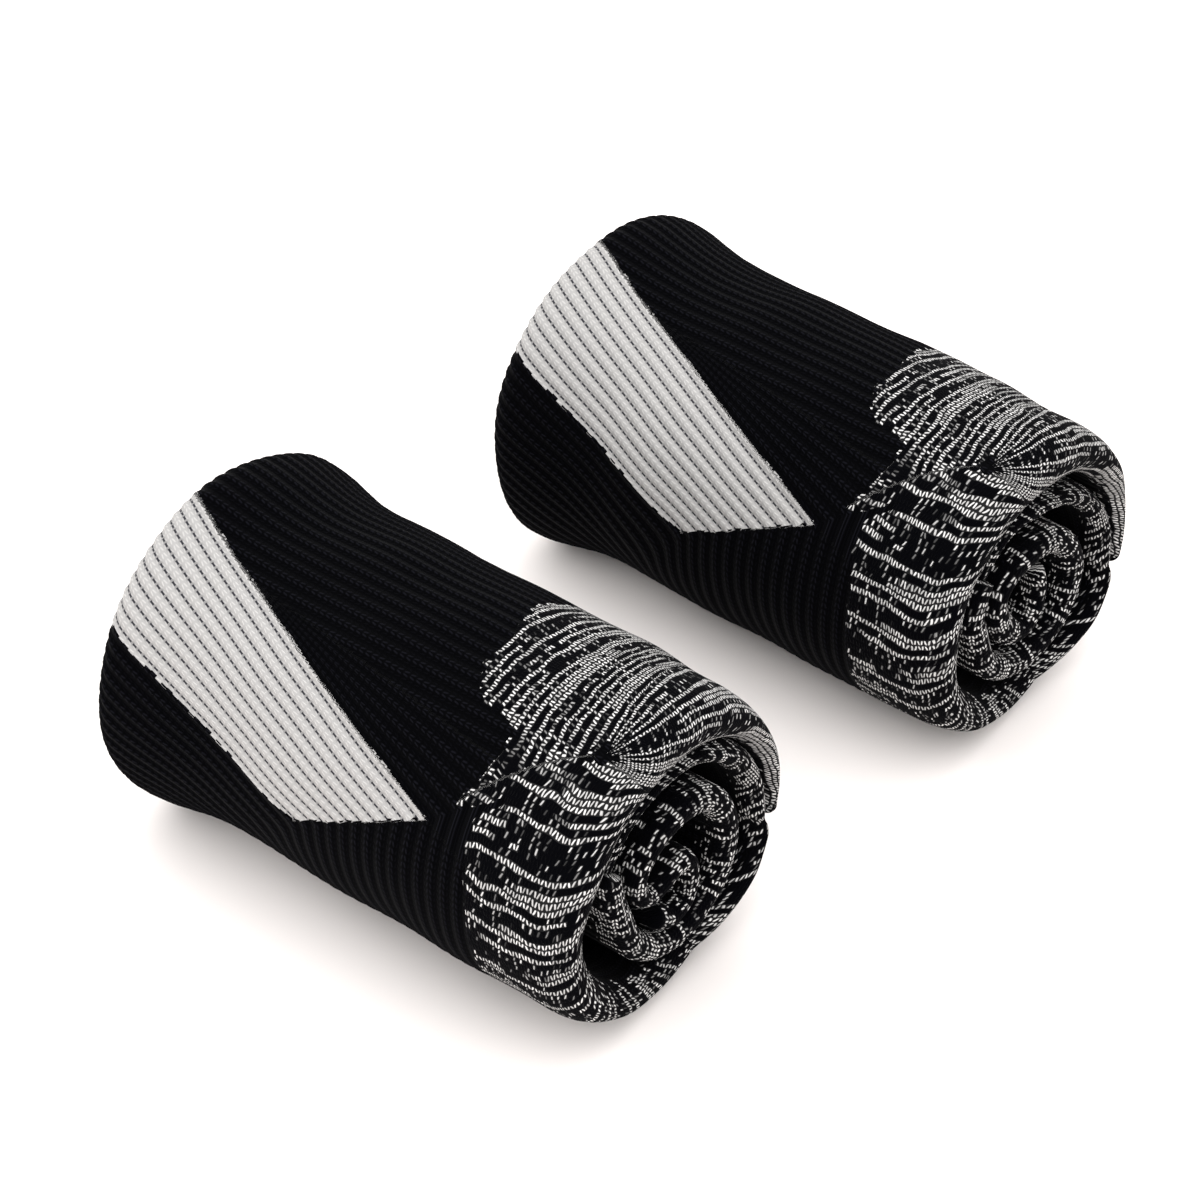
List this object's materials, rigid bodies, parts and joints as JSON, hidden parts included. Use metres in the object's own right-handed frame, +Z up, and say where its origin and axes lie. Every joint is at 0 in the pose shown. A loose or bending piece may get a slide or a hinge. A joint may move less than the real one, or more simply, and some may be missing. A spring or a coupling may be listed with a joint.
{
  "type": "pair of rolled socks",
  "caption": "Two thick knitted sports socks, each laid flat and rolled into a soft round bundle that lies on its side, with the folded edges of the cloth spiralling at both ends.",
  "frame": {"origin": "centre of the pair's bounding box, on the surface that it rests on", "axes": "+Z up; both rolls lie along X, with the heels' spiral ends at +X and the legs' edges at -X; +Y from the near sock to the far one"},
  "size_m": [0.1219, 0.1886, 0.0706],
  "materials": {
    "leg_and_heel_knit": "black ribbed knit with a light grey band, marled black and grey heel and sole",
    "foot_turn_knit": "black ribbed knit with a marled black and grey sole edge",
    "toe_roll_knit": "marled black and grey terry-lined knit"
  },
  "bodies": {
    "root": {"near_sock_leg_and_heel": "leg_and_heel_knit", "near_sock_foot_turn": "foot_turn_knit", "near_sock_toe_roll": "toe_roll_knit", "far_sock_leg_and_heel": "leg_and_heel_knit", "far_sock_foot_turn": "foot_turn_knit", "far_sock_toe_roll": "toe_roll_knit"}
  },
  "joints": []
}
